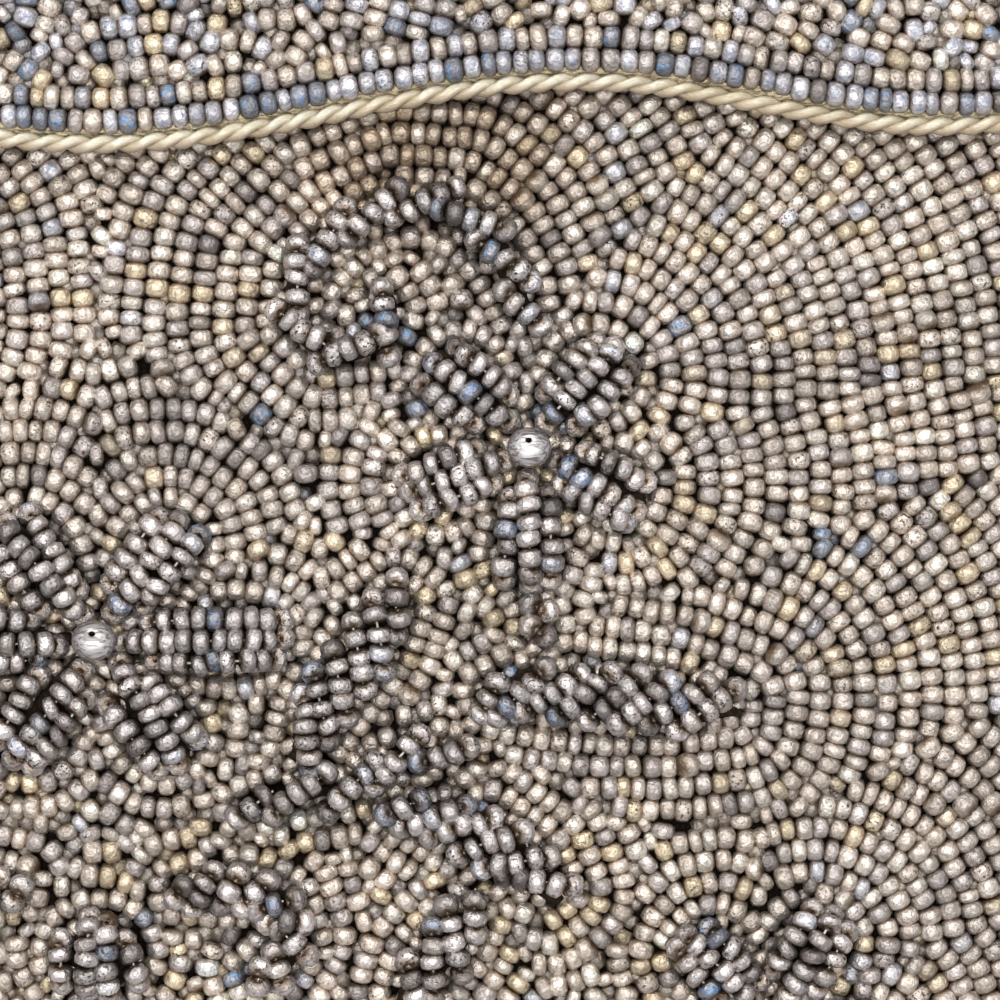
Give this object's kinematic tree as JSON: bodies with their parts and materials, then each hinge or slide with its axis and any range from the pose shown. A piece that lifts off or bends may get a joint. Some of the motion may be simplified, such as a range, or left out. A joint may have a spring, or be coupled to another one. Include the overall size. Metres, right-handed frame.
{
  "type": "beaded evening purse",
  "caption": "Flat fold-over evening purse covered in rows of seed beads, with raised bead flowers, leaves and scrolls and a twisted cord along the wavy flap edge.",
  "frame": {"origin": "middle of the purse's outline, on the surface that it lies on", "axes": "+X across the purse to the right as its front is seen, +Y up the purse to the fold, +Z out of its front"},
  "size_m": [0.215, 0.15, 0.0166],
  "materials": {
    "beaded_cloth": "champagne metallic seed beads on cloth",
    "relief_beads": "tarnished grey metallic seed beads",
    "silver_bead": "scratched silver",
    "cord": "pale gold satin cord",
    "tape": "gold woven tape",
    "stud": "plain nickel"
  },
  "bodies": {
    "root": {"back_panel": "beaded_cloth", "front_panel": "beaded_cloth", "flap": "beaded_cloth", "flap_tape": "tape", "flap_cord": "cord", "press_stud": "stud", "flower_bead_right": "silver_bead", "flower_bead_left": "silver_bead", "flower_petal_inner_upper_right": "relief_beads", "flower_petal_inner_upper_left": "relief_beads", "flower_petal_outer_upper_right": "relief_beads", "flower_petal_outer_upper_left": "relief_beads", "flower_petal_outer_lower_right": "relief_beads", "flower_petal_outer_lower_left": "relief_beads", "flower_petal_lower_right": "relief_beads", "flower_petal_lower_left": "relief_beads", "flower_petal_inner_lower_right": "relief_beads", "flower_petal_inner_lower_left": "relief_beads", "low_flower_bead_right": "silver_bead", "low_flower_bead_left": "silver_bead", "low_flower_petal_inner_upper_right": "relief_beads", "low_flower_petal_inner_upper_left": "relief_beads", "low_flower_petal_outer_upper_right": "relief_beads", "low_flower_petal_outer_upper_left": "relief_beads", "low_flower_petal_outer_right": "relief_beads", "low_flower_petal_outer_left": "relief_beads", "low_flower_petal_lower_right": "relief_beads", "low_flower_petal_lower_left": "relief_beads", "low_flower_petal_inner_right": "relief_beads", "low_flower_petal_inner_left": "relief_beads", "middle_flower_bead": "silver_bead", "middle_flower_petal_right": "relief_beads", "middle_flower_petal_upper_right": "relief_beads", "middle_flower_petal_upper_left": "relief_beads", "middle_flower_petal_left": "relief_beads", "middle_flower_petal_lower_left": "relief_beads", "middle_flower_petal_lower_right": "relief_beads", "scroll_right": "relief_beads", "scroll_left": "relief_beads", "stem_right": "relief_beads", "stem_left": "relief_beads", "outer_leaf_right": "relief_beads", "outer_leaf_left": "relief_beads", "inner_leaf_right": "relief_beads", "inner_leaf_left": "relief_beads", "tendril_right": "relief_beads", "tendril_left": "relief_beads", "lower_leaf_right": "relief_beads", "lower_leaf_left": "relief_beads", "small_leaf_right": "relief_beads", "small_leaf_left": "relief_beads", "hook_right": "relief_beads", "hook_left": "relief_beads", "middle_bud": "relief_beads"}
  },
  "joints": []
}
